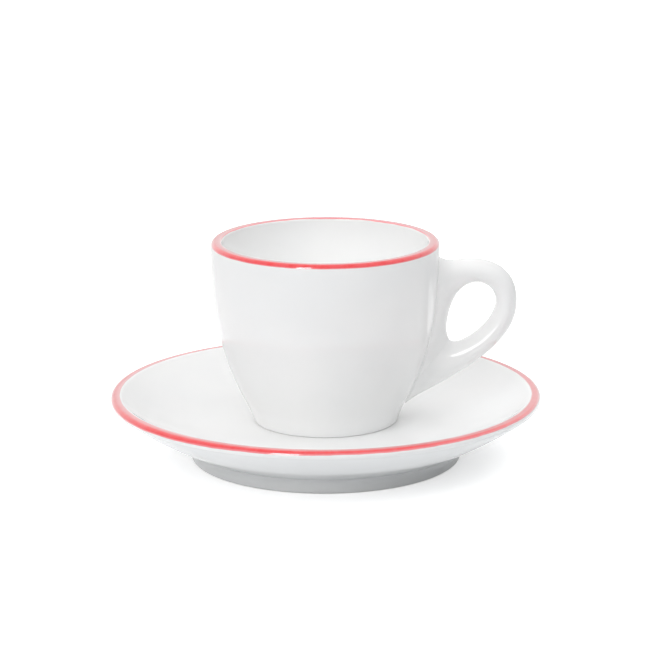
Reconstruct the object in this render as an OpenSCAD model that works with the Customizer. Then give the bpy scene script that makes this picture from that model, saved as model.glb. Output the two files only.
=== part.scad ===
// Espresso cup standing on its saucer: white glazed porcelain with a red enamel line round both edges.
// Millimetres. Z points up, the table is z = 0, the common axis of cup and saucer is x = y = 0,
// and the handle points along +X.

/* [Saucer] */
// Diameter over the edge
saucer_d = 120; // [105:1:150]
// Height from the table to the top of the edge
saucer_h = 18.4; // [15:0.2:24]
// Thickness of the rounded edge
saucer_lip = 2.4; // [1.6:0.1:4]
// Width of the level brim, inwards from the middle of the rounded edge
brim_w = 1.8; // [0.8:0.1:4]
// Radius of the rounding between dish and brim
brim_blend = 1.5; // [0.6:0.1:2.4]
// Height of the flat floor above the table
floor_h = 10.5; // [8:0.2:12]
// Diameter of the flat floor
floor_d = 68; // [52:1:80]
// Thickness of the middle, over the hollow inside the foot ring
saucer_base = 4.8; // [3:0.1:6]
// Radius of the curve of the underside
under_r = 93; // [60:1:160]

/* [Saucer foot] */
// Outer diameter of the foot ring
saucer_foot_d = 75.6; // [66:0.2:84]
// Width of the foot ring
saucer_foot_w = 4; // [2.5:0.1:6]
// Height at which the underside reaches the foot ring
saucer_foot_h = 3.8; // [2.8:0.1:5]
// Radius of the hollow blend between foot ring and underside
saucer_foot_blend = 3; // [1:0.2:4]
// Radius of the foot ring's edges
saucer_foot_edge = 0.7; // [0.3:0.1:1.2]
// Radius inside the hollow, where the foot ring meets the middle
hollow_blend = 1.8; // [0.5:0.1:2.4]

/* [Cup] */
// Largest diameter of the cup
cup_d = 63.2; // [56:0.2:72]
// Height of the cup above the saucer's floor
cup_h = 51.1; // [46:0.1:58]
// Height of the widest place
belly_h = 46.8; // [42:0.1:48]
// Radius of the curve of the upper wall
upper_r = 135; // [90:1:200]
// Height at which the curve of the wall tightens
join_h = 32.8; // [24:0.1:38]
// Thickness of the rounded lip
cup_lip = 3; // [2.2:0.1:4]
// Radius of the curve of the inner wall
inner_r = 80; // [70:1:120]
// Radius between inner wall and inner floor
bowl_r = 14; // [8:0.5:18]
// Height of the inner floor
cup_base = 6; // [4.5:0.1:8]

/* [Cup foot] */
// Diameter of the cup where it would meet the saucer
cup_foot_d = 40.2; // [35:0.2:45]
// Draft of the wall there, in degrees
cup_foot_draft = 16.8; // [8:0.2:22]
// Radius of the hollow curve between foot and wall
cup_flare_r = 32; // [20:1:40]
// Radius of the foot's lower edge
cup_foot_edge = 0.6; // [0.3:0.1:1]
// Width of the ring that the cup stands on
cup_foot_w = 3.4; // [2:0.1:5]
// Depth of the recess inside that ring
cup_recess = 1.6; // [0.8:0.1:2.5]

/* [Handle] */
// How far the handle stands out from the widest place
handle_reach = 21.5; // [18:0.1:26]
// Width of the handle across the grip
handle_w = 8.6; // [6:0.2:11]
// How far the handle's top is below the top of the cup
handle_drop = 5.6; // [4.5:0.1:8.5]
// Height of the farthest point of the handle
handle_tip_h = 33.7; // [30:0.1:36]
// How far out the top runs before it bends over
shoulder_out = 11.4; // [9:0.1:13]
// Fullness of the bend above the farthest point
bend_up = 11; // [8:0.2:13]
// Fullness of the bend below the farthest point
bend_down = 11.2; // [8:0.2:13]
// How far out the lower edge sets off towards the foot
heel_out = 10; // [8:0.1:12]
// Height that the lower edge sets off from
heel_h = 14.7; // [12:0.1:18]
// Distance of the finger hole's middle from the widest place
hole_out = 8.2; // [7:0.1:9]
// Height of the finger hole's middle
hole_h = 30.3; // [28:0.1:32]
// Length of the finger hole
hole_l = 18.8; // [15:0.2:20]
// Width of the finger hole
hole_w = 11; // [8:0.2:12]
// Lean of the finger hole's long axis from the level, in degrees
hole_lean = 59; // [50:1:70]
// How much wider the hole's upper end is than its middle, as a share
hole_egg = 0.28; // [0:0.02:0.4]
// How much wider the handle's root is on each side
root_flare = 1.6; // [0:0.1:2.5]
// Distance from the wall over which the root widens
root_run = 3.5; // [2:0.1:4.5]

/* [Enamel lines] */
// Thickness of the enamel
enamel_t = 0.35; // [0.15:0.05:0.4]
// Width of the cup's line across the lip
cup_line_w = 2.7; // [1.5:0.1:2.8]
// Angle above the level at which the cup's line ends on the outside, in degrees
cup_line_end = 26; // [0:1:45]
// Width of the saucer's line across the edge
saucer_line_w = 2.6; // [1.8:0.1:4]
// Angle above the level at which the saucer's line ends on the outside, in degrees
saucer_line_end = 32; // [0:1:60]

/* [Hidden] */
$fn = 180;
porcelain = "whitesmoke";
enamel = [0.86, 0.2, 0.23];
// Longer than any piece, for cutting
far = 4 * (saucer_d + cup_h);
// Overlap of curves that run into each other, so that they cross and leave no sliver
hair = 0.001;

// Point at distance a from p and b from q, on the left of the way from p to q
function meet(p, a, q, b) =
    let (d = norm(q - p), u = (q - p) / d, along = (d * d + a * a - b * b) / (2 * d))
    p + along * u + sqrt(a * a - along * along) * [-u.y, u.x];
// Point where a circle round c touches whatever circle it is tangent to, towards q
function touch(c, r, q) = c + r * (q - c) / norm(q - c);
function bezier(p, t) =
    pow(1 - t, 3) * p[0] + 3 * t * pow(1 - t, 2) * p[1] + 3 * t * t * (1 - t) * p[2] + pow(t, 3) * p[3];

// Saucer in section, as [radius, height]
saucer_r = saucer_d / 2;
saucer_lip_r = saucer_lip / 2;
saucer_lip_c = [saucer_r - saucer_lip_r, saucer_h - saucer_lip_r];
saucer_foot_r = saucer_foot_d / 2;
floor_r = floor_d / 2;
hollow_r = saucer_foot_r - saucer_foot_w;
hollow_h = floor_h - saucer_base;
// The dish rises from the floor in one arc that is tangent to the floor and to the rounding at the brim
brim_c = [saucer_lip_c.x - brim_w, saucer_h - brim_blend];
rise = brim_c - [floor_r, floor_h];
dish_r = (rise * rise - pow(brim_blend, 2)) / (2 * (rise.y + brim_blend));
dish_c = [floor_r, floor_h + dish_r];
brim_in = touch(brim_c, brim_blend, dish_c);
// The underside is one arc from the foot ring's top to the lip
under_c = meet([saucer_foot_r, saucer_foot_h], under_r, saucer_lip_c, under_r - saucer_lip_r);
blend_x = saucer_foot_r + saucer_foot_blend;
blend_c = [blend_x, under_c.y - sqrt(pow(under_r + saucer_foot_blend, 2) - pow(blend_x - under_c.x, 2))];
blend_end = touch(under_c, under_r, blend_c);
saucer_lip_out = saucer_lip_c + saucer_lip_r * (saucer_lip_c - under_c) / norm(saucer_lip_c - under_c);

// Cup in section, as [radius, height above its foot]
cup_r = cup_d / 2;
cup_lip_r = cup_lip / 2;
cup_foot_r = cup_foot_d / 2;
upper_c = [cup_r - upper_r, belly_h];
join_a = asin((join_h - belly_h) / upper_r);
join_n = [cos(join_a), sin(join_a)];
join_p = upper_c + upper_r * join_n;
// The foot's hollow curve, then the lower wall, which is tangent to it and to the upper wall
flare_c = [cup_foot_r + cup_flare_r * cos(cup_foot_draft), -cup_flare_r * sin(cup_foot_draft)];
flare_to_join = join_p - flare_c;
lower_r = (flare_to_join * flare_to_join - pow(cup_flare_r, 2))
    / (2 * (flare_to_join * join_n + cup_flare_r));
lower_c = join_p - lower_r * join_n;
flare_end = touch(lower_c, lower_r, flare_c);
edge_c = [flare_c.x - sqrt(pow(cup_flare_r + cup_foot_edge, 2) - pow(cup_foot_edge - flare_c.y, 2)),
    cup_foot_edge];
edge_end = touch(flare_c, cup_flare_r, edge_c);
recess_r = edge_c.x - cup_foot_w;
cup_lip_h = cup_h - cup_lip_r;
cup_lip_c = [upper_c.x + sqrt(pow(upper_r - cup_lip_r, 2) - pow(cup_lip_h - belly_h, 2)), cup_lip_h];
cup_lip_out = upper_c + upper_r * (cup_lip_c - upper_c) / norm(cup_lip_c - upper_c);
cup_lip_in = cup_lip_c - [cup_lip_r, 0];
// The inner wall is upright at the lip and curves in to the rounded floor
inner_c = cup_lip_in - [inner_r, 0];
bowl_h = cup_base + bowl_r;
bowl_c = [inner_c.x + sqrt(pow(inner_r - bowl_r, 2) - pow(bowl_h - inner_c.y, 2)), bowl_h];
bowl_end = inner_c + inner_r * (bowl_c - inner_c) / norm(bowl_c - inner_c);
function wall_r(h) =
    h >= join_h ? upper_c.x + sqrt(pow(upper_r, 2) - pow(h - belly_h, 2)) :
    h >= flare_end.y ? lower_c.x + sqrt(pow(lower_r, 2) - pow(h - lower_c.y, 2)) :
    flare_c.x - sqrt(pow(cup_flare_r, 2) - pow(h - flare_c.y, 2));

// Handle outline in the plane y = 0, as [x, height above the cup's foot]. It runs from inside the wall over
// the top to the tip, back under the hole to the wall, and closes inside the cup, where it is cut away.
handle_top = cup_h - handle_drop;
into_wall = 3.5;
top_fall = 2.1;
top_pull = 3;
low_end_h = 2.1;
tip = [cup_r + handle_reach, handle_tip_h];
upper_end = [cup_r - into_wall, handle_top - top_fall];
lower_end = [cup_foot_r - into_wall, low_end_h];
over_the_top = [upper_end, [cup_r + shoulder_out, handle_top + top_pull], tip + [0, bend_up], tip];
under_the_hole = [tip, tip - [0, bend_down], [cup_r + heel_out, heel_h], lower_end];
bend_steps = 18;
wall_steps = 10;
grip_sides = 24;
outline = concat(
    [for (i = [0 : bend_steps - 1]) bezier(over_the_top, i / bend_steps)],
    [for (i = [0 : bend_steps - 1]) bezier(under_the_hole, i / bend_steps)],
    [for (i = [0 : wall_steps - 1]) lower_end + (upper_end - lower_end) * i / wall_steps]);
stations = len(outline);
hole_c = [cup_r + hole_out, hole_h];
lean = [cos(hole_lean), sin(hole_lean)];
lean_n = [-lean.y, lean.x];
// Point of the egg-shaped finger hole that faces a point of the outline
function hole_point(p) =
    let (v = p - hole_c, a = atan2(v * lean_n / hole_w, v * lean / hole_l))
    hole_c + hole_l / 2 * cos(a) * lean + hole_w / 2 * (1 + hole_egg * cos(a)) * sin(a) * lean_n;
// Point of the oval grip between hole and outline, widened towards the wall
function grip_point(o, a) =
    let (i = hole_point(o), half = norm(o - i) / 2, out = (o - i) / (2 * half),
         mid = (o + i) / 2, flat = mid + half * cos(a) * out, y = handle_w / 2 * sin(a),
         gap = max(0, norm([flat.x, y]) - wall_r(max(0, flat.y))),
         widen = gap < root_run ? root_flare * pow(1 - gap / root_run, 2) : 0,
         n = [cos(a) * handle_w / 2, sin(a) * half], push = widen * n / norm(n))
    [flat.x + push.x * out.x, y + push.y, floor_h + flat.y + push.x * out.y];
grip_points = [for (o = outline, k = [0 : grip_sides - 1]) grip_point(o, 360 * k / grip_sides)];
function grip_index(j, k) = (j % stations) * grip_sides + k % grip_sides;
grip_faces = [for (j = [0 : stations - 1], k = [0 : grip_sides - 1], f = [0, 1])
    f == 0 ? [grip_index(j, k), grip_index(j + 1, k), grip_index(j + 1, k + 1)]
           : [grip_index(j, k), grip_index(j + 1, k + 1), grip_index(j, k + 1)]];

// Rectangle between two corners
module block(low, high) {
    translate(low) square(high - low);
}

module disc(c, r) {
    translate(c) circle(r);
}

// The side of a rounded edge that the body is on: below the lines from c through its inner and outer ends
module body_side(c, inner, outer) {
    polygon([c, c + far * (inner - c), [-far, -far], [far, -far], c + far * (outer - c)]);
}

// The saucer's outer shape up to its rounded edge, with neither dish nor hollow
module saucer_outside() {
    block([0, 0], [saucer_foot_r - saucer_foot_edge, floor_h]);
    disc([saucer_foot_r - saucer_foot_edge, saucer_foot_edge], saucer_foot_edge);
    block([0, saucer_foot_edge], [saucer_foot_r, blend_end.y]);
    difference() {
        block([0, blend_c.y], blend_end);
        disc(blend_c, saucer_foot_blend + hair);
    }
    intersection() {
        disc(under_c, under_r);
        block([0, saucer_foot_edge], [saucer_r, saucer_h]);
        body_side(brim_c, brim_in, saucer_lip_out);
    }
}

module hollow() {
    block([-far, -far], [hollow_r, hollow_h - hollow_blend]);
    block([-far, -far], [hollow_r - hollow_blend, hollow_h]);
    disc([hollow_r - hollow_blend, hollow_h - hollow_blend], hollow_blend);
}

// Half of the saucer cut through, with its upper face and edge sunk by the given depth
module saucer_section(sunk = 0) {
    difference() {
        saucer_outside();
        block([-far, floor_h - sunk], [floor_r, far]);
        disc(dish_c, dish_r + sunk + hair);
        hollow();
    }
    disc(brim_c, brim_blend - sunk);
    block([brim_c.x, saucer_lip_c.y - saucer_lip_r / 2], [saucer_lip_c.x, saucer_h - sunk]);
    disc(saucer_lip_c, saucer_lip_r - sunk);
}

// Skin of the saucer's edge that the enamel takes up
module saucer_line() {
    intersection() {
        difference() {
            saucer_section();
            saucer_section(enamel_t);
        }
        polygon([
            [saucer_r - saucer_line_w, saucer_lip_c.y - saucer_lip_r],
            saucer_lip_c,
            saucer_lip_c + 2 * saucer_lip * [cos(saucer_line_end), sin(saucer_line_end)],
            [saucer_r, saucer_h + saucer_lip],
            [saucer_r - saucer_line_w, saucer_h + saucer_lip]]);
    }
}

module saucer_plate() {
    color(porcelain) rotate_extrude() difference() {
        saucer_section();
        saucer_line();
    }
}

module saucer_rim_band() {
    color(enamel) rotate_extrude() saucer_line();
}

// The cup's outer shape up to its lip, without its hollow
module cup_outside() {
    block([0, 0], [edge_c.x, flare_end.y]);
    disc(edge_c, cup_foot_edge);
    difference() {
        block([0, edge_end.y], flare_end);
        disc(flare_c, cup_flare_r + hair);
    }
    intersection() {
        disc(lower_c, lower_r);
        block([0, edge_end.y], [cup_r, belly_h]);
    }
    intersection() {
        disc(upper_c, upper_r - hair);
        block([0, join_h], [cup_r, cup_h]);
        body_side(cup_lip_c, cup_lip_in, cup_lip_out);
    }
}

module cup_inside() {
    block([-far, cup_base], [bowl_c.x, far]);
    disc(bowl_c, bowl_r);
    intersection() {
        disc(inner_c, inner_r);
        block([-far, bowl_end.y], [cup_r, cup_h]);
    }
    block([-far, cup_lip_h], [cup_lip_in.x, far]);
}

// Half of the cup cut through
module cup_section() {
    difference() {
        cup_outside();
        cup_inside();
        block([-far, -far], [recess_r, cup_recess]);
    }
    disc(cup_lip_c, cup_lip_r);
}

// Skin of the cup's lip that the enamel takes up
module cup_line() {
    inner_end = acos(1 - cup_line_w / cup_lip_r);
    intersection() {
        difference() {
            disc(cup_lip_c, cup_lip_r);
            disc(cup_lip_c, cup_lip_r - enamel_t);
        }
        polygon(concat([cup_lip_c], [for (a = [cup_line_end, (cup_line_end + inner_end) / 2, inner_end])
            cup_lip_c + 2 * cup_lip * [cos(a), sin(a)]]));
    }
}

module cup_body() {
    color(porcelain) translate([0, 0, floor_h]) rotate_extrude() difference() {
        cup_section();
        cup_line();
    }
}

module cup_rim_band() {
    color(enamel) translate([0, 0, floor_h]) rotate_extrude() cup_line();
}

// The handle is coped to the wall that it is stuck to
module cup_handle() {
    color(porcelain) difference() {
        polyhedron(grip_points, grip_faces);
        translate([0, 0, floor_h]) rotate_extrude() cup_outside();
    }
}

saucer_plate();
saucer_rim_band();
cup_body();
cup_handle();
cup_rim_band();
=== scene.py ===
import math

import bpy
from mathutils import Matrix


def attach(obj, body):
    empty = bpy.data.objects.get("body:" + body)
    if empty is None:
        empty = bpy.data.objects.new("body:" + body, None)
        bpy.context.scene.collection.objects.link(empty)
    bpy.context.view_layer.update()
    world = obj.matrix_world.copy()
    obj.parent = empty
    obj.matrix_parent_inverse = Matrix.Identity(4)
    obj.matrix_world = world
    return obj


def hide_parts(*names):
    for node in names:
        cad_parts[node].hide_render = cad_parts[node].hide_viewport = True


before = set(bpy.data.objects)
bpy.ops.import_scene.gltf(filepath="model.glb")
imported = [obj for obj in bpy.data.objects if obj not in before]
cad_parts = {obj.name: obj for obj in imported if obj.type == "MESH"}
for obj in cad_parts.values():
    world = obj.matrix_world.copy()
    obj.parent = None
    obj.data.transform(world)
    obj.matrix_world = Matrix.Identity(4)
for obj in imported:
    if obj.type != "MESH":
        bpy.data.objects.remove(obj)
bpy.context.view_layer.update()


# Saucer: a round porcelain plate, pressed on a turning mould, with a flat floor for the cup, a
# dished rim that ends in a narrow level brim, and a foot ring below. It is dipped in clear glaze,
# and the glaze is wiped off the flat that it is fired on.
mm = 0.001
saucer_r, saucer_h, saucer_lip_r = 60, 18.4, 1.2
brim_w, brim_blend_r = 1.2, 1.5
floor_r, floor_h = 34, 10.5
saucer_foot_r, saucer_foot_w, saucer_foot_h = 37.8, 4, 3.8
under_r, foot_blend_r, foot_edge_r, inner_edge_r = 93, 3, 0.7, 0.4
hollow_h, hollow_blend_r = 5.7, 1.8
enamel_t, saucer_line_w, saucer_line_end = 0.35, 2.6, -12
turn_steps, floor_steps, hollow_steps = 256, 12, 8
same_point, merge_reach, turned_crease = 1e-5, 2e-6, math.radians(35)


def arc(centre, radius, start, end, steps):
    """Points on a circle in a section, as (distance from the axis, height), angles in degrees."""
    angles = [math.radians(start + (end - start) * i / steps) for i in range(steps + 1)]
    return [(centre[0] + radius * math.cos(a), centre[1] + radius * math.sin(a)) for a in angles]


def angle_to(centre, point):
    """The direction from a centre to a point of the section, in degrees."""
    return math.degrees(math.atan2(point[1] - centre[1], point[0] - centre[0]))


def meet(p, a, q, b):
    """The point at distance a from p and b from q, on the left of the way from p to q."""
    d = math.dist(p, q)
    u = ((q[0] - p[0]) / d, (q[1] - p[1]) / d)
    along = (d * d + a * a - b * b) / (2 * d)
    off = math.sqrt(a * a - along * along)
    return (p[0] + along * u[0] - off * u[1], p[1] + along * u[1] + off * u[0])


def turned(name, section):
    """A piece turned from its section: drawn point by point, then spun round the axis."""
    points = [section[0]]
    for p in section[1:]:
        if math.dist(p, points[-1]) > same_point:
            points.append(p)
    bpy.ops.object.select_all(action="DESELECT")
    bpy.ops.mesh.primitive_plane_add(size=0.01)
    piece = bpy.context.object
    piece.name = piece.data.name = name
    bpy.ops.object.mode_set(mode="EDIT")
    bpy.ops.mesh.merge(type="CENTER")
    bpy.ops.transform.translate(value=(points[0][0] * mm, 0, points[0][1] * mm))
    for (r0, z0), (r1, z1) in zip(points, points[1:]):
        step = {"value": ((r1 - r0) * mm, 0, (z1 - z0) * mm)}
        bpy.ops.mesh.extrude_region_move(TRANSFORM_OT_translate=step)
    bpy.ops.mesh.select_all(action="SELECT")
    bpy.ops.mesh.spin(steps=turn_steps, angle=2 * math.pi, center=(0, 0, 0), axis=(0, 0, 1))
    bpy.ops.mesh.select_all(action="SELECT")
    bpy.ops.mesh.remove_doubles(threshold=merge_reach)
    bpy.ops.mesh.normals_make_consistent(inside=False)
    bpy.ops.object.mode_set(mode="OBJECT")
    bpy.ops.object.shade_smooth_by_angle(angle=turned_crease)
    return piece


saucer_lip_c = (saucer_r - saucer_lip_r, saucer_h - saucer_lip_r)
brim_c = (saucer_lip_c[0] - brim_w, saucer_h - brim_blend_r)
rise = (brim_c[0] - floor_r, brim_c[1] - floor_h)
dish_r = (rise[0] ** 2 + rise[1] ** 2 - brim_blend_r ** 2) / (2 * (rise[1] + brim_blend_r))
dish_c = (floor_r, floor_h + dish_r)
dish_end = angle_to(dish_c, brim_c)
under_c = meet((saucer_foot_r, saucer_foot_h), under_r, saucer_lip_c, under_r - saucer_lip_r)
blend_x = saucer_foot_r + foot_blend_r
blend_drop = math.sqrt((under_r + foot_blend_r) ** 2 - (blend_x - under_c[0]) ** 2)
blend_c = (blend_x, under_c[1] - blend_drop)
under_start, lip_out = angle_to(under_c, blend_c), angle_to(under_c, saucer_lip_c)
hollow_r = saucer_foot_r - saucer_foot_w
line_r = saucer_r - saucer_line_w
line_start = math.degrees(math.acos((line_r - brim_c[0]) / brim_blend_r))
saucer_section = (
    [(floor_r * i / floor_steps, floor_h) for i in range(floor_steps)]
    + arc(dish_c, dish_r, -90, dish_end, 44)
    + arc(brim_c, brim_blend_r, dish_end + 180, line_start, 10)
    + [(line_r, saucer_h - enamel_t)]
    + arc(saucer_lip_c, saucer_lip_r - enamel_t, 90, saucer_line_end, 10)
    + arc(saucer_lip_c, saucer_lip_r, saucer_line_end, lip_out, 16)
    + arc(under_c, under_r, lip_out, under_start, 44)
    + arc(blend_c, foot_blend_r, under_start + 180, 180, 12)
    + arc((saucer_foot_r - foot_edge_r, foot_edge_r), foot_edge_r, 0, -90, 6)
    + arc((hollow_r + inner_edge_r, inner_edge_r), inner_edge_r, -90, -180, 5)
    + arc((hollow_r - hollow_blend_r, hollow_h - hollow_blend_r), hollow_blend_r, 0, 90, 8)
    + [(hollow_r * i / hollow_steps, hollow_h) for i in range(hollow_steps - 1, -1, -1)]
)
saucer = turned("saucer_porcelain", saucer_section)


def painted(name):
    """A new material, with its node tree and its shader."""
    material = bpy.data.materials.new(name)
    material.use_nodes = True
    return material, material.node_tree, material.node_tree.nodes["Principled BSDF"]


def node(tree, kind, **settings):
    """A new node, with its properties and unlinked sockets set by name."""
    new = tree.nodes.new(kind)
    for key, value in settings.items():
        if key in new.inputs.keys():
            new.inputs[key].default_value = value
        else:
            setattr(new, key, value)
    return new


def feed(tree, sockets, values):
    """Each socket gets its value, a constant or another node's output."""
    for socket, value in zip(sockets, values):
        if isinstance(value, bpy.types.NodeSocket):
            tree.links.new(value, socket)
        else:
            socket.default_value = value


def sums(tree, operation, a, b):
    """A Math node over two values, each a number or another node's output."""
    new = node(tree, "ShaderNodeMath", operation=operation)
    feed(tree, new.inputs, (a, b))
    return new.outputs[0]


def ramp(tree, value, low, high, start=0, end=1):
    """A number that goes smoothly from start to end while the value goes from low to high."""
    new = node(tree, "ShaderNodeMapRange", interpolation_type="SMOOTHSTEP")
    names = ("Value", "From Min", "From Max", "To Min", "To Max")
    feed(tree, [new.inputs[name] for name in names], (value, low, high, start, end))
    return new.outputs["Result"]


def mixed(tree, share, a, b):
    """A colour mixed from a to b, on the Mix node's colour sockets."""
    new = node(tree, "ShaderNodeMix", data_type="RGBA")
    feed(tree, (new.inputs[0], new.inputs[6], new.inputs[7]), (share, a, b))
    return new.outputs[2]


def noise(tree, place, scale, detail):
    """A cloudy number from 0 to 1, with so many clouds to the metre."""
    new = node(tree, "ShaderNodeTexNoise", Scale=scale, Detail=detail)
    tree.links.new(place, new.inputs["Vector"])
    return new.outputs["Fac"]


def place_of(tree):
    """Object coordinates, then their three numbers, then the distance from the axis."""
    place = node(tree, "ShaderNodeTexCoord").outputs["Object"]
    parts = node(tree, "ShaderNodeSeparateXYZ")
    tree.links.new(place, parts.inputs[0])
    x, y, z = parts.outputs
    squares = sums(tree, "ADD", sums(tree, "MULTIPLY", x, x), sums(tree, "MULTIPLY", y, y))
    return place, x, y, z, sums(tree, "SQRT", squares, 0)


porcelain_white, porcelain_shade = (0.930, 0.930, 0.926, 1), (0.910, 0.915, 0.915, 1)
bare_clay, bare_rough = (0.74, 0.70, 0.63, 1), 0.6
speck_grey, speck_rarity, speck_core, speck_edge = (0.55, 0.53, 0.50, 1), 0.965, 0.006, 0.022
wiped_h, wipe_in, wipe_out, wipe_ragged, wipe_blur = 0.25, 0.1, 0.2, 0.25, 0.1
glaze_ior, glaze_wave, glaze_wave_h = 1.5, 0.03, 0.4


def glazed(name, foot_top, foot_in, foot_out, white, shade):
    """White porcelain under clear glaze, bare on the ring that it was fired on."""
    material, tree, shader = painted(name)
    place, x, y, height, radius = place_of(tree)
    cloud = ramp(tree, noise(tree, place, scale=38, detail=3), low=0.35, high=0.7)
    body = mixed(tree, cloud, white, shade)
    dots = node(tree, "ShaderNodeTexVoronoi", Scale=110, Randomness=1)
    tree.links.new(place, dots.inputs["Vector"])
    chance = node(tree, "ShaderNodeSeparateColor")
    tree.links.new(dots.outputs["Color"], chance.inputs[0])
    picked = sums(tree, "GREATER_THAN", chance.outputs[0], speck_rarity)
    dot = ramp(tree, dots.outputs["Distance"], speck_core, speck_edge, start=0.5, end=0)
    body = mixed(tree, sums(tree, "MULTIPLY", dot, picked), body, speck_grey)
    ragged = sums(tree, "MULTIPLY", noise(tree, place, scale=900, detail=2), wipe_ragged * mm)
    above = sums(tree, "SUBTRACT", height, ragged)
    below = ramp(tree, above, foot_top, foot_top + wipe_blur * mm, start=1, end=0)
    within = sums(tree, "MULTIPLY", sums(tree, "GREATER_THAN", radius, foot_in),
                  sums(tree, "LESS_THAN", radius, foot_out))
    bare = sums(tree, "MULTIPLY", below, within)
    grain = noise(tree, place, scale=5200, detail=2)
    clay = mixed(tree, grain, bare_clay, porcelain_shade)
    tree.links.new(mixed(tree, bare, body, clay), shader.inputs["Base Color"])
    gloss = ramp(tree, noise(tree, place, scale=150, detail=2), 0.3, 0.75, start=0.01, end=0.05)
    rough = sums(tree, "ADD", gloss, sums(tree, "MULTIPLY", bare, bare_rough))
    tree.links.new(rough, shader.inputs["Roughness"])
    shader.inputs["IOR"].default_value = glaze_ior
    flow = sums(tree, "ADD", noise(tree, place, scale=130, detail=2),
                sums(tree, "MULTIPLY", bare, grain))
    wave = node(tree, "ShaderNodeBump", Strength=glaze_wave, Distance=glaze_wave_h * mm)
    tree.links.new(flow, wave.inputs["Height"])
    tree.links.new(wave.outputs[0], shader.inputs["Normal"])
    return material


saucer.data.materials.append(glazed(
    "saucer_glaze", wiped_h * mm, (hollow_r - wipe_in) * mm, (saucer_foot_r - wipe_out) * mm,
    porcelain_white, porcelain_shade))
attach(saucer, "saucer")
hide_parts("saucer_plate")


# Red line on the saucer's edge: enamel laid on with a brush while the glazed saucer turns, then
# fired on. It covers the rounded edge, and its borders waver a little as the brush does.
saucer_line = turned("saucer_red_line", (
    arc(brim_c, brim_blend_r, line_start, 90, 3)
    + arc(saucer_lip_c, saucer_lip_r, 90, saucer_line_end, 12)
    + arc(saucer_lip_c, saucer_lip_r - enamel_t, saucer_line_end, 90, 10)
    + [(line_r, saucer_h - enamel_t)]
    + arc(brim_c, brim_blend_r, line_start, line_start, 1)
))
# The pink thin colour stands partly for thinner enamel and partly for painted sheen.
enamel_red, enamel_thin_and_sheen = (0.92, 0.03, 0.04, 1), (0.95, 0.30, 0.32, 1)
enamel_finish = {"IOR": 1.5, "Coat Weight": 1, "Coat Roughness": 0.03,
                 "Sheen Weight": 1, "Sheen Roughness": 0.4}
left_end, left_start = -50, -25
waver_w, waver_out = 0.3, 0.1
line_above_lip, line_slope = 0.25, 0.007
# The fades, wider inside on the left and lower down on the rest, paint where the line shows a pale
# sheen.
saucer_inner_fade, saucer_lower_fade = (1.6, 0.45), (0.5, 0.7)


def enamelled(name, inner_r, lower_z, slope, inner_fade, lower_fade):
    """Glossy red enamel that thins out towards its borders, which waver like a brushed line. The
    pale pink thin colour there is partly thinner enamel and partly painted sheen and highlight, as
    the line looks seen edge-on. Each fade is given for the left side and for the rest, which
    paints that sheen wider at the inner border on the left and at the lower border on the rest."""
    material, tree, shader = painted(name)
    place, x, y, height, radius = place_of(tree)
    border = sums(tree, "ADD", sums(tree, "MULTIPLY", x, slope), lower_z)
    waver = sums(tree, "MULTIPLY", noise(tree, place, scale=160, detail=3), waver_w * mm)
    waver = sums(tree, "SUBTRACT", waver, waver_out * mm)
    inwards = sums(tree, "SUBTRACT", sums(tree, "SUBTRACT", radius, inner_r), waver)
    upwards = sums(tree, "SUBTRACT", sums(tree, "SUBTRACT", height, border), waver)
    covers = []
    for depth, (left, rest) in ((inwards, inner_fade), (upwards, lower_fade)):
        fade = ramp(tree, x, left_end * mm, left_start * mm, left * mm, rest * mm)
        covers.append(ramp(tree, sums(tree, "DIVIDE", depth, fade), low=0, high=1))
    # Full red where the enamel is thick; towards the borders the pink is partly painted sheen.
    thickness_and_sheen = sums(tree, "MULTIPLY", *covers)
    streaks = ramp(tree, noise(tree, place, scale=420, detail=3), 0.35, 0.7, start=0.86, end=1)
    red = mixed(tree, sums(tree, "MULTIPLY", thickness_and_sheen, streaks), enamel_thin_and_sheen, enamel_red)
    edge = sums(tree, "MINIMUM", inwards, upwards)
    painted_on = ramp(tree, edge, low=-0.04 * mm, high=0.06 * mm)
    tree.links.new(mixed(tree, painted_on, porcelain_white, red), shader.inputs["Base Color"])
    rough = ramp(tree, noise(tree, place, scale=300, detail=2), 0.3, 0.7, start=0.07, end=0.16)
    tree.links.new(rough, shader.inputs["Roughness"])
    for socket, value in enamel_finish.items():
        shader.inputs[socket].default_value = value
    return material


saucer_line.data.materials.append(enamelled(
    "saucer_enamel", line_r * mm, (saucer_lip_c[1] + line_above_lip) * mm, line_slope,
    saucer_inner_fade, saucer_lower_fade))
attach(saucer_line, "saucer")
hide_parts("saucer_rim_band")


# Cup: thick porcelain cast in a plaster mould, so that its wall is heaviest near the foot, with a
# rounded lip and a shallow recess under its base. Its inside has a whiter copy of the glaze, which
# is painted light for the brighter bowl. It stands loose on the saucer's floor.
cup_r, cup_h, cup_lip, cup_lip_r, lip_edge_r = 31.6, 51.1, 3, 1.2, 0.7
belly_h, upper_r, join_h = 46.8, 135, 32.8
inner_wall_r, bowl_r, cup_base, base_steps = 80, 14, 6, 5
cup_foot_r, foot_draft, flare_r = 20.1, math.radians(16.8), 32
cup_edge_r, cup_foot_w, cup_recess, recess_edge_r = 0.6, 3.4, 1.6, 0.3
cup_line_end, cup_line_in = 4, 148
# The inside colours are the outer glaze made brighter: painted light for the bowl's inside.
inside_white_painted_light, inside_shade_painted_light = (0.962, 0.962, 0.958, 1), (0.945, 0.950, 0.950, 1)


def lifted(points):
    """Heights above the cup's foot become heights above the table."""
    return [(r, z + floor_h) for r, z in points]


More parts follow.
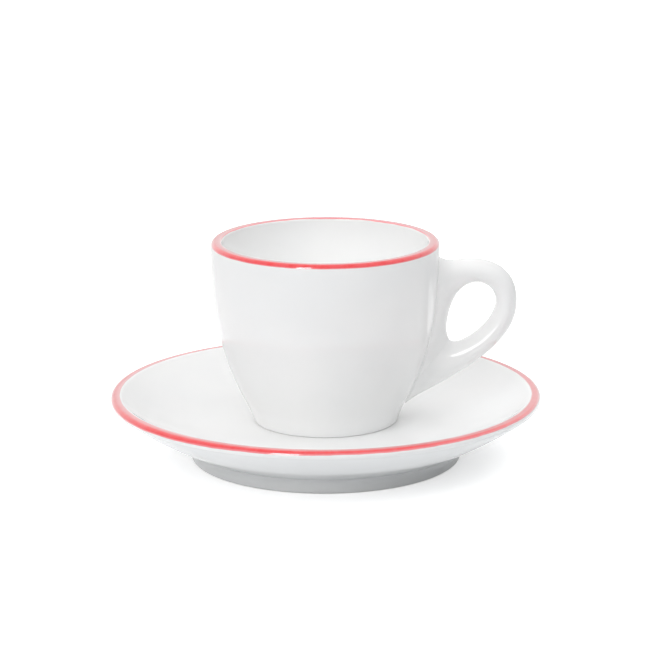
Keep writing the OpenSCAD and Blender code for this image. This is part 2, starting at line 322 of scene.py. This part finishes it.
upper_c = (cup_r - upper_r, belly_h)
join_a = math.asin((join_h - belly_h) / upper_r)
join_n = (math.cos(join_a), math.sin(join_a))
join_p = (upper_c[0] + upper_r * join_n[0], upper_c[1] + upper_r * join_n[1])
flare_c = (cup_foot_r + flare_r * math.cos(foot_draft), -flare_r * math.sin(foot_draft))
reach = (join_p[0] - flare_c[0], join_p[1] - flare_c[1])
lower_r = (reach[0] ** 2 + reach[1] ** 2 - flare_r ** 2) / (
    2 * (reach[0] * join_n[0] + reach[1] * join_n[1] + flare_r))
lower_c = (join_p[0] - lower_r * join_n[0], join_p[1] - lower_r * join_n[1])
lower_start = angle_to(lower_c, flare_c)
edge_reach = math.sqrt((flare_r + cup_edge_r) ** 2 - (cup_edge_r - flare_c[1]) ** 2)
cup_edge_c = (flare_c[0] - edge_reach, cup_edge_r)
cup_edge_end = angle_to(cup_edge_c, flare_c)
cup_lip_h = cup_h - cup_lip_r
lip_reach = math.sqrt((upper_r - cup_lip_r) ** 2 - (cup_lip_h - belly_h) ** 2)
cup_lip_c = (upper_c[0] + lip_reach, cup_lip_h)
cup_lip_out = angle_to(upper_c, cup_lip_c)
inner_lip_r = cup_lip_c[0] + cup_lip_r - cup_lip
lip_edge_c = (inner_lip_r + lip_edge_r, cup_h - lip_edge_r)
inner_c = (inner_lip_r - inner_wall_r, cup_h - cup_lip / 2)
bowl_h = cup_base + bowl_r
bowl_reach = math.sqrt((inner_wall_r - bowl_r) ** 2 - (bowl_h - inner_c[1]) ** 2)
bowl_c = (inner_c[0] + bowl_reach, bowl_h)
bowl_end = angle_to(inner_c, bowl_c)
recess_r = cup_edge_c[0] - cup_foot_w
outer_wall = (
    arc(cup_edge_c, cup_edge_r, -90, cup_edge_end, 6)
    + arc(flare_c, flare_r, cup_edge_end + 180, lower_start + 180, 12)
    + arc(lower_c, lower_r, lower_start, math.degrees(join_a), 36)
    + arc(upper_c, upper_r, math.degrees(join_a), cup_lip_out, 20)
)
cup_section = (
    [(recess_r * i / base_steps, cup_recess) for i in range(base_steps + 1)]
    + arc((recess_r + recess_edge_r, recess_edge_r), recess_edge_r, 180, 270, 4)
    + outer_wall
    + arc(cup_lip_c, cup_lip_r, cup_lip_out, cup_line_end, 4)
    + arc(cup_lip_c, cup_lip_r - enamel_t, cup_line_end, 90, 14)
    + arc(lip_edge_c, lip_edge_r - enamel_t, 90, cup_line_in, 4)
    + arc(lip_edge_c, lip_edge_r, cup_line_in, 180, 8)
    + arc(inner_c, inner_wall_r, 0, bowl_end, 36)
    + arc(bowl_c, bowl_r, bowl_end, -90, 20)
    + [(bowl_c[0] * i / base_steps, cup_base) for i in range(base_steps - 1, -1, -1)]
)
cup = turned("cup_porcelain", lifted(cup_section))
cup_ring = ((floor_h + wiped_h) * mm, (recess_r - wipe_in) * mm, (cup_edge_c[0] + wipe_in) * mm)
cup_glaze = glazed("cup_glaze", *cup_ring, porcelain_white, porcelain_shade)
cup.data.materials.append(cup_glaze)
# The bowl's inside faces get the brighter copy of the glaze, which is painted light.
cup.data.materials.append(glazed("cup_inside_glaze_painted_light", *cup_ring, inside_white_painted_light, inside_shade_painted_light))
inside_h = (floor_h + cup_base - 0.1) * mm
for face in cup.data.polygons:
    outwards = face.center.x * face.normal.x + face.center.y * face.normal.y
    if face.center.z > inside_h and outwards < 1e-6:
        face.material_index = 1
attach(cup, "cup")
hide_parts("cup_body")


# Handle: an ear cast on its own with a finger hole in it, trimmed to the curve of the wall, stuck
# on with slip and glazed together with the cup. Its root spreads where the slip is wiped round,
# and less on its underside.
handle_w, handle_reach, handle_tip_h, handle_top = 8.6, 21.5, 33.7, 45.5
shoulder_out, bend_up, bend_down, heel_out, heel_h = 11.4, 11, 11.2, 10, 14.7
top_fall, top_pull, into_wall, low_end_h = 2.1, 3, 3.5, 2.1
hole_c, hole_l, hole_w = (cup_r + 8.2, 30.3), 18.8, 11
hole_lean, hole_egg = math.radians(59), 0.28
root_flare, root_run, under_trim = 2.0, 3.6, 0.9
bend_steps, wall_steps, grip_sides = 44, 16, 48
handle_crease = math.radians(50)


def bezier(p, t):
    """The point at t, from 0 to 1, on a curve with four control points."""
    share = ((1 - t) ** 3, 3 * t * (1 - t) ** 2, 3 * t * t * (1 - t), t ** 3)
    return tuple(sum(s * q[i] for s, q in zip(share, p)) for i in (0, 1))


def wall_at(h):
    """The cup's outer radius at a height above its foot."""
    if h >= join_h:
        return upper_c[0] + math.sqrt(upper_r ** 2 - (h - belly_h) ** 2)
    if h >= lower_c[1] + lower_r * math.sin(math.radians(lower_start)):
        return lower_c[0] + math.sqrt(lower_r ** 2 - (h - lower_c[1]) ** 2)
    return flare_c[0] - math.sqrt(flare_r ** 2 - (h - flare_c[1]) ** 2)


tip = (cup_r + handle_reach, handle_tip_h)
upper_end = (cup_r - into_wall, handle_top - top_fall)
lower_end = (cup_foot_r - into_wall, low_end_h)
shoulder, heel = (cup_r + shoulder_out, handle_top + top_pull), (cup_r + heel_out, heel_h)
over_the_top = (upper_end, shoulder, (tip[0], tip[1] + bend_up), tip)
under_the_hole = (tip, (tip[0], tip[1] - bend_down), heel, lower_end)
inside_the_cup = (lower_end, lower_end, upper_end, upper_end)
outline = [bezier(over_the_top, i / bend_steps) for i in range(bend_steps)]
outline += [bezier(under_the_hole, i / bend_steps) for i in range(bend_steps)]
outline += [bezier(inside_the_cup, i / wall_steps) for i in range(wall_steps)]
lean = (math.cos(hole_lean), math.sin(hole_lean))
bpy.ops.object.select_all(action="DESELECT")
bpy.ops.mesh.primitive_circle_add(vertices=grip_sides, radius=mm)
handle = bpy.context.object
handle.name = handle.data.name = "cup_handle_porcelain"
bpy.ops.object.mode_set(mode="EDIT")
bpy.ops.mesh.delete(type="VERT")
for outer in outline:
    off = (outer[0] - hole_c[0], outer[1] - hole_c[1])
    turn = math.atan2((off[1] * lean[0] - off[0] * lean[1]) / hole_w,
                      (off[0] * lean[0] + off[1] * lean[1]) / hole_l)
    along = hole_l / 2 * math.cos(turn)
    across = hole_w / 2 * (1 + hole_egg * math.cos(turn)) * math.sin(turn)
    inner = (hole_c[0] + along * lean[0] - across * lean[1],
             hole_c[1] + along * lean[1] + across * lean[0])
    middle = ((outer[0] + inner[0]) / 2 * mm, 0, ((outer[1] + inner[1]) / 2 + floor_h) * mm)
    grip = (math.dist(outer, inner) / 2, handle_w / 2, 1)
    facing = math.atan2(outer[1] - inner[1], outer[0] - inner[0])
    bpy.ops.mesh.primitive_circle_add(vertices=grip_sides, radius=mm, location=middle)
    bpy.ops.transform.resize(value=grip, center_override=middle)
    bpy.ops.transform.rotate(value=facing, orient_axis="Y", center_override=middle)
for j in range(len(outline)):
    bpy.ops.mesh.select_all(action="DESELECT")
    bpy.ops.object.mode_set(mode="OBJECT")
    for ring in (j, (j + 1) % len(outline)):
        for k in range(grip_sides):
            handle.data.vertices[ring * grip_sides + k].select = True
            handle.data.edges[ring * grip_sides + k].select = True
    bpy.ops.object.mode_set(mode="EDIT")
    bpy.ops.mesh.bridge_edge_loops()
bpy.ops.mesh.select_all(action="SELECT")
bpy.ops.mesh.normals_make_consistent(inside=False)
bpy.ops.object.mode_set(mode="OBJECT")
pushes = []
for point in handle.data.vertices:
    x, y, h = point.co.x / mm, point.co.y / mm, point.co.z / mm - floor_h
    gap = max(0, math.hypot(x, y) - wall_at(max(0, h)))
    trim = 1 + under_trim * min(0, point.normal.z)
    pushes.append(point.normal * root_flare * trim * mm * max(0, 1 - gap / root_run) ** 2)
for point, push in zip(handle.data.vertices, pushes):
    point.co += push
core = turned("wall_cutter", lifted(
    [(0, 0)] + outer_wall + [(wall_at(belly_h), cup_h), (0, cup_h)]))
bpy.ops.object.select_all(action="DESELECT")
handle.select_set(True)
bpy.context.view_layer.objects.active = handle
cope = handle.modifiers.new("coped to the wall", "BOOLEAN")
cope.operation, cope.solver, cope.object = "DIFFERENCE", "EXACT", core
bpy.ops.object.modifier_apply(modifier=cope.name)
bpy.data.objects.remove(core)
bpy.ops.object.shade_smooth_by_angle(angle=handle_crease)
handle.data.materials.clear()
handle.data.materials.append(cup_glaze)
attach(handle, "cup")
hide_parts("cup_handle")


# Red line on the cup's lip: the same enamel, brushed over the rounded lip and a little way down
# the outside, and fired on.
# The long inner fade paints the pale pink sheen of the lip's top seen edge-on, as well as thinner
# enamel there.
line_over_lip, cup_inner_fade, cup_lower_fade = 0.05, (2.2, 2.2), (0.4, 0.4)
cup_line_r = lip_edge_c[0] + lip_edge_r * math.cos(math.radians(cup_line_in))
cup_line = turned("cup_red_line", lifted(
    arc(cup_lip_c, cup_lip_r, cup_line_end, 90, 18)
    + arc(lip_edge_c, lip_edge_r, 90, cup_line_in, 6)
    + arc(lip_edge_c, lip_edge_r - enamel_t, cup_line_in, 90, 4)
    + arc(cup_lip_c, cup_lip_r - enamel_t, 90, cup_line_end, 14)
    + arc(cup_lip_c, cup_lip_r, cup_line_end, cup_line_end, 1)
))
cup_line.data.materials.append(enamelled(
    "cup_enamel", cup_line_r * mm, (floor_h + cup_lip_h + line_over_lip) * mm, 0,
    cup_inner_fade, cup_lower_fade))
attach(cup_line, "cup")
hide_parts("cup_rim_band")


# Table: a plain white studio table under a white sheet, whose front edge the glaze mirrors. What
# the camera sees of it is lifted to white, and it keeps the object's shadow.
table_front, table_back, table_half, table_drop = -1.6, 2.6, 1.8, 0.05 * mm
sheet_front, sheet_blur, sheet_rough = -0.115, 0.003, 0.6
sheet_dull, sheet_white = (0.84, 0.84, 0.84, 1), (0.86, 0.86, 0.86, 1)
table_white, lift_white = (0.835, 0.855, 0.87, 1), (1, 1, 1, 1)
bpy.ops.object.select_all(action="DESELECT")
bpy.ops.mesh.primitive_plane_add(size=1)
table = bpy.context.object
table.name = table.data.name = "studio_table"
bpy.ops.object.mode_set(mode="EDIT")
bpy.ops.transform.resize(value=(2 * table_half, table_back - table_front, 1))
bpy.ops.transform.translate(value=(0, (table_back + table_front) / 2, -table_drop))
bpy.ops.object.mode_set(mode="OBJECT")


def rays_of(tree):
    """1 for what the camera sees, straight or through glass, and 1 for what the glaze mirrors."""
    rays = node(tree, "ShaderNodeLightPath").outputs
    seen = sums(tree, "MAXIMUM", rays["Is Camera Ray"], rays["Is Transmission Ray"])
    return seen, rays["Is Glossy Ray"]


table_paint, tree, shader = painted("table_white")
place, x, y, height, radius = place_of(tree)
seen, mirrored = rays_of(tree)
on_sheet = ramp(tree, y, sheet_front - sheet_blur, sheet_front + sheet_blur)
mirrored = sums(tree, "MULTIPLY", mirrored, on_sheet)
sheet = mixed(tree, noise(tree, place, scale=6, detail=2), sheet_dull, sheet_white)
shown = mixed(tree, sums(tree, "MAXIMUM", seen, mirrored), table_white, sheet)
tree.links.new(shown, shader.inputs["Base Color"])
shader.inputs["Roughness"].default_value = sheet_rough
shader.inputs["Specular IOR Level"].default_value = 0
shader.inputs["Emission Color"].default_value = lift_white
seen_lift = ramp(tree, radius, low=0.15, high=0.5, start=0.51, end=1)
# In what the glaze mirrors, the sheet glows most near the cup: painted light that brightens the
# floor's reflection under the saucer.
mirror_lift = ramp(tree, radius, low=0.1, high=0.3, start=0.5, end=0.12)
lift = sums(tree, "ADD", sums(tree, "MULTIPLY", seen, seen_lift),
            sums(tree, "MULTIPLY", mirrored, mirror_lift))
tree.links.new(lift, shader.inputs["Emission Strength"])
table.data.materials.append(table_paint)


# Light: soft boxes round the table, the strongest in front on the camera's left. The glaze mirrors
# the white room in front of them, and a tall window beside the camera.
aim, room_white, room_mirrored = (0, 0, 0.02), (1, 1, 1, 1), 0.8


def soft_box(name, place, size, glow):
    """A lit panel in metres that faces the cup, with the same glow whatever its size."""
    bpy.ops.object.light_add(type="AREA", location=place)
    lamp = bpy.context.object
    lamp.name = name
    lamp.data.shape = "RECTANGLE"
    lamp.data.size, lamp.data.size_y = size
    lamp.data.energy = math.pi * size[0] * size[1] * glow
    way = [a - p for a, p in zip(aim, place)]
    level = math.hypot(way[0], way[1])
    lamp.rotation_euler = (math.atan2(level, -way[2]), 0, math.atan2(-way[0], way[1]))
    return lamp


for box in (
    soft_box("box_above", (0, 0, 1.2), (2, 2), 1.07),
    soft_box("box_above_right", (0.8, 0, 0.95), (0.9, 0.9), 1.35),
    soft_box("box_left_behind", (-0.8, 0.8, 0.6), (0.9, 0.9), 1.25),
    soft_box("box_behind", (0, 1.3, 0.7), (1.6, 0.8), 1.6),
    soft_box("box_in_front", (0, -1.3, 0.9), (1.4, 1), 1.44),
    soft_box("box_left", (-0.9, -0.9, 0.7), (0.9, 0.9), 2.45),
):
    box.visible_glossy = False
soft_box("window", (-0.56, -1.4, 0.6), (0.4, 1), 8).visible_diffuse = False
world = bpy.data.worlds.new("pale_room")
bpy.context.scene.world = world
world.use_nodes = True
tree = world.node_tree
room = tree.nodes["Background"]
room.inputs["Color"].default_value = room_white
seen, mirrored = rays_of(tree)
mirrored = sums(tree, "MULTIPLY", mirrored, room_mirrored)
tree.links.new(sums(tree, "MAXIMUM", seen, mirrored), room.inputs["Strength"])


# Camera: where the photograph was taken from, about 80 cm in front of the cup and a little above
# it, with a long lens. Angles are in degrees.
camera_place, pitch, yaw, roll = (0, -0.7734, 0.2328), 14.334, 0.144, -0.170
lens, sensor_w, nearest = 155.3, 36, 0.01
bpy.ops.object.camera_add(location=camera_place)
camera = bpy.context.object
camera.name = "camera"
camera.rotation_mode = "XYZ"
camera.rotation_euler = (math.radians(90 - pitch), 0, math.radians(-yaw))
camera.rotation_euler.rotate_axis("Z", math.radians(roll))
camera.data.sensor_width = sensor_w
camera.data.lens = lens
camera.data.clip_start = nearest
bpy.context.scene.camera = camera
bpy.context.scene.view_settings.view_transform = "Standard"
